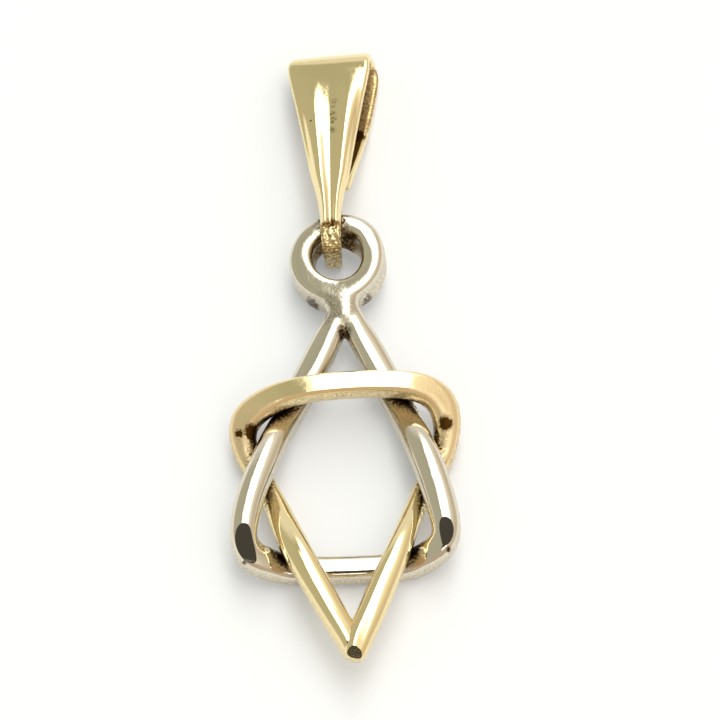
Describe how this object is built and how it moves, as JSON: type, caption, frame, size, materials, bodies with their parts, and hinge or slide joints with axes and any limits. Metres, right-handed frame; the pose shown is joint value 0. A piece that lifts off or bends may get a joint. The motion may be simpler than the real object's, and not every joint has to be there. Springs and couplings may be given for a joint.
{
  "type": "star of david pendant",
  "caption": "Star pendant of interlaced wire triangles in white and yellow gold, hung by a cast ring on a tapered, folded and fluted bail for a neck chain.",
  "frame": {"origin": "centre of the footprint, on the table under the pendant as it lies face up", "axes": "+Z is the pendant's front, +Y runs from the star's point to the top of the bail, +X is to the right seen from the front"},
  "size_m": [0.0104, 0.0302, 0.0031],
  "materials": {
    "yellow_gold": "polished",
    "white_gold": "polished"
  },
  "bodies": {
    "root": {"bail": "yellow_gold", "white_triangle": "white_gold", "yellow_triangle": "yellow_gold"}
  },
  "joints": []
}
